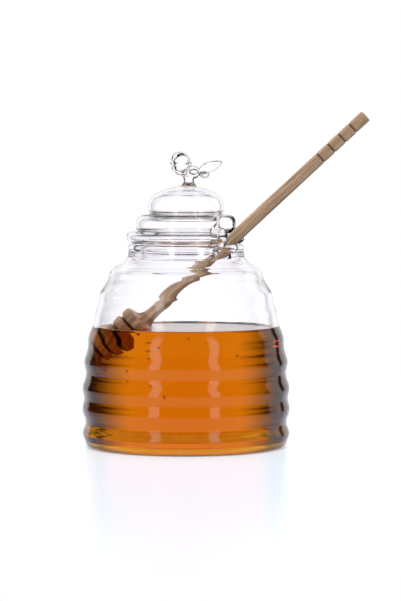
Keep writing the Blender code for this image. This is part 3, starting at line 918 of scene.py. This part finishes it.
def make_floor():
    """Plain pale table. Glass and honey show the studio and not this table, so their sides go dark, and
    it lights nothing, so the stick's underside is in shade."""
    floor = bmesh.new()
    bmesh.ops.create_circle(floor, cap_ends=True, segments=96, radius=TABLE_RADIUS * MM)
    bmesh.ops.translate(floor, vec=(0.0, 0.0, -TABLE_GAP * MM), verts=floor.verts)
    piece = held(floor, "pale_table")
    material, tree, shader, _ = new_material("matt_white_table")
    place = add(tree, "ShaderNodeTexCoord").outputs["Object"]
    tone = ramped(tree, cloudy(tree, place, 166.7, 2.0), ((0.3, linear("#8f8a98")), (0.7, linear("#938e9c"))))
    tree.links.new(tone, shader.inputs["Base Color"])
    shader.inputs["Roughness"].default_value = 0.25
    shader.inputs["Specular IOR Level"].default_value = 0.15
    # Painted shadow: the table glows all over but for the spot that the jar covers, where its glow is nearly
    # gone; seen flat it is cooler and mirrors more
    reach = add(tree, "ShaderNodeVectorMath", settings={"operation": "LENGTH"}, inputs={0: place})
    glow_outside_painted_shadow = mapped(tree, reach.outputs["Value"], PAINTED_SHADOW_SPOT[0] * MM, PAINTED_SHADOW_SPOT[1] * MM, 0.08, 1.0)
    flat = add(tree, "ShaderNodeLayerWeight", inputs={"Blend": 0.5})
    flatness = mapped(tree, flat.outputs["Facing"], 0.79, 0.87)
    painted_glow = mixed(tree, flatness, (0.53, 0.53, 0.55, 1.0), (0.51, 0.60, 0.63, 1.0))
    tree.links.new(painted_glow, shader.inputs["Emission Color"])
    tree.links.new(glow_outside_painted_shadow, shader.inputs["Emission Strength"])
    piece.data.materials.append(material)
    piece.visible_transmission = False
    piece.visible_diffuse = False


def by_angle(tree, angle, stops):
    """Brightness by an angle, from (degrees, brightness) pairs that cover its whole range."""
    low, high = stops[0][0], stops[-1][0]
    share = mapped(tree, angle, math.radians(low), math.radians(high))
    return ramped(tree, share, [((degrees - low) / (high - low), (level, level, level, 1.0))
                                for degrees, level in stops])


def make_world():
    """White studio: white all round for what it lights, and for glass a bright backdrop, dark flags
    at its sides, two tall soft boxes at the front and a pale panel behind on the right."""
    world = bpy.data.worlds.new("white_studio")
    bpy.context.scene.world = world
    world.use_nodes = True
    tree = world.node_tree
    place = add(tree, "ShaderNodeTexCoord")
    axes = add(tree, "ShaderNodeSeparateXYZ", inputs={0: place.outputs["Generated"]})
    around = maths(tree, "ARCTAN2", axes.outputs["X"], maths(tree, "MULTIPLY", axes.outputs["Y"], -1.0))
    rise = maths(tree, "ARCSINE", axes.outputs["Z"])
    lit = by_angle(tree, rise, LIT_BY_RISE)
    backdrop_round = tuple((-degrees, level) for degrees, level in reversed(BACKDROP_HALF)) + BACKDROP_HALF
    through = mixed(tree, 1.0, by_angle(tree, around, backdrop_round), BACKDROP_GAIN, "MULTIPLY")
    through = mixed(tree, 1.0, through, by_angle(tree, rise, BACKDROP_BY_RISE), "MULTIPLY")
    mirrored = mixed(tree, 1.0, by_angle(tree, around, SOFT_BOXES),
                     by_angle(tree, rise, SOFT_BOXES_BY_RISE), "MULTIPLY")
    path = add(tree, "ShaderNodeLightPath")
    seen = mixed(tree, path.outputs["Is Glossy Ray"], lit, mirrored)
    # Light that was mirrored on its way sees what a mirror sees, wherever it leaves the glass
    mirrored_once = maths(tree, "GREATER_THAN", path.outputs["Glossy Depth"], 0.5)
    beyond = mixed(tree, mirrored_once, through, mirrored)
    seen = mixed(tree, path.outputs["Is Transmission Ray"], seen, beyond)
    # What lies inside the jar is lit like the rest, although its light comes in through glass
    lights = maths(tree, "GREATER_THAN", path.outputs["Diffuse Depth"], 0.5)
    seen = mixed(tree, lights, seen, lit)
    seen = mixed(tree, path.outputs["Is Camera Ray"], seen, (1.0, 1.0, 1.0, 1.0))
    tree.links.new(seen, tree.nodes["Background"].inputs["Color"])


def make_camera():
    """The photograph's camera, far away and a little above the jar's top."""
    lens = bpy.data.cameras.new("camera")
    lens.lens = CAMERA_LENS
    lens.sensor_width = 36.0
    lens.clip_start = 0.01
    camera = bpy.data.objects.new("camera", lens)
    bpy.context.scene.collection.objects.link(camera)
    camera.location = CAMERA_PLACE
    aim = Vector(CAMERA_AIM) - camera.location
    camera.rotation_euler = aim.to_track_quat("-Z", "Y").to_euler()
    bpy.context.scene.camera = camera


def set_up_light_paths():
    """Enough bounces for light to pass the jar, the honey and the lid, and no tone curve."""
    scene = bpy.context.scene
    scene.view_settings.view_transform = "Standard"
    scene.cycles.max_bounces = LIGHT_BOUNCES
    scene.cycles.transmission_bounces = LIGHT_BOUNCES
    scene.cycles.glossy_bounces = 12
    scene.cycles.diffuse_bounces = 4
    scene.cycles.caustics_refractive = True
    scene.cycles.caustics_reflective = True
    scene.cycles.blur_glossy = 0.0


make_jar(blown_borosilicate(), wetted_borosilicate())
make_lid(lampworked_borosilicate())
make_honey(clear_honey(), clear_honey(True))
make_dipper(turned_beech())
make_floor()
make_world()
make_camera()
set_up_light_paths()
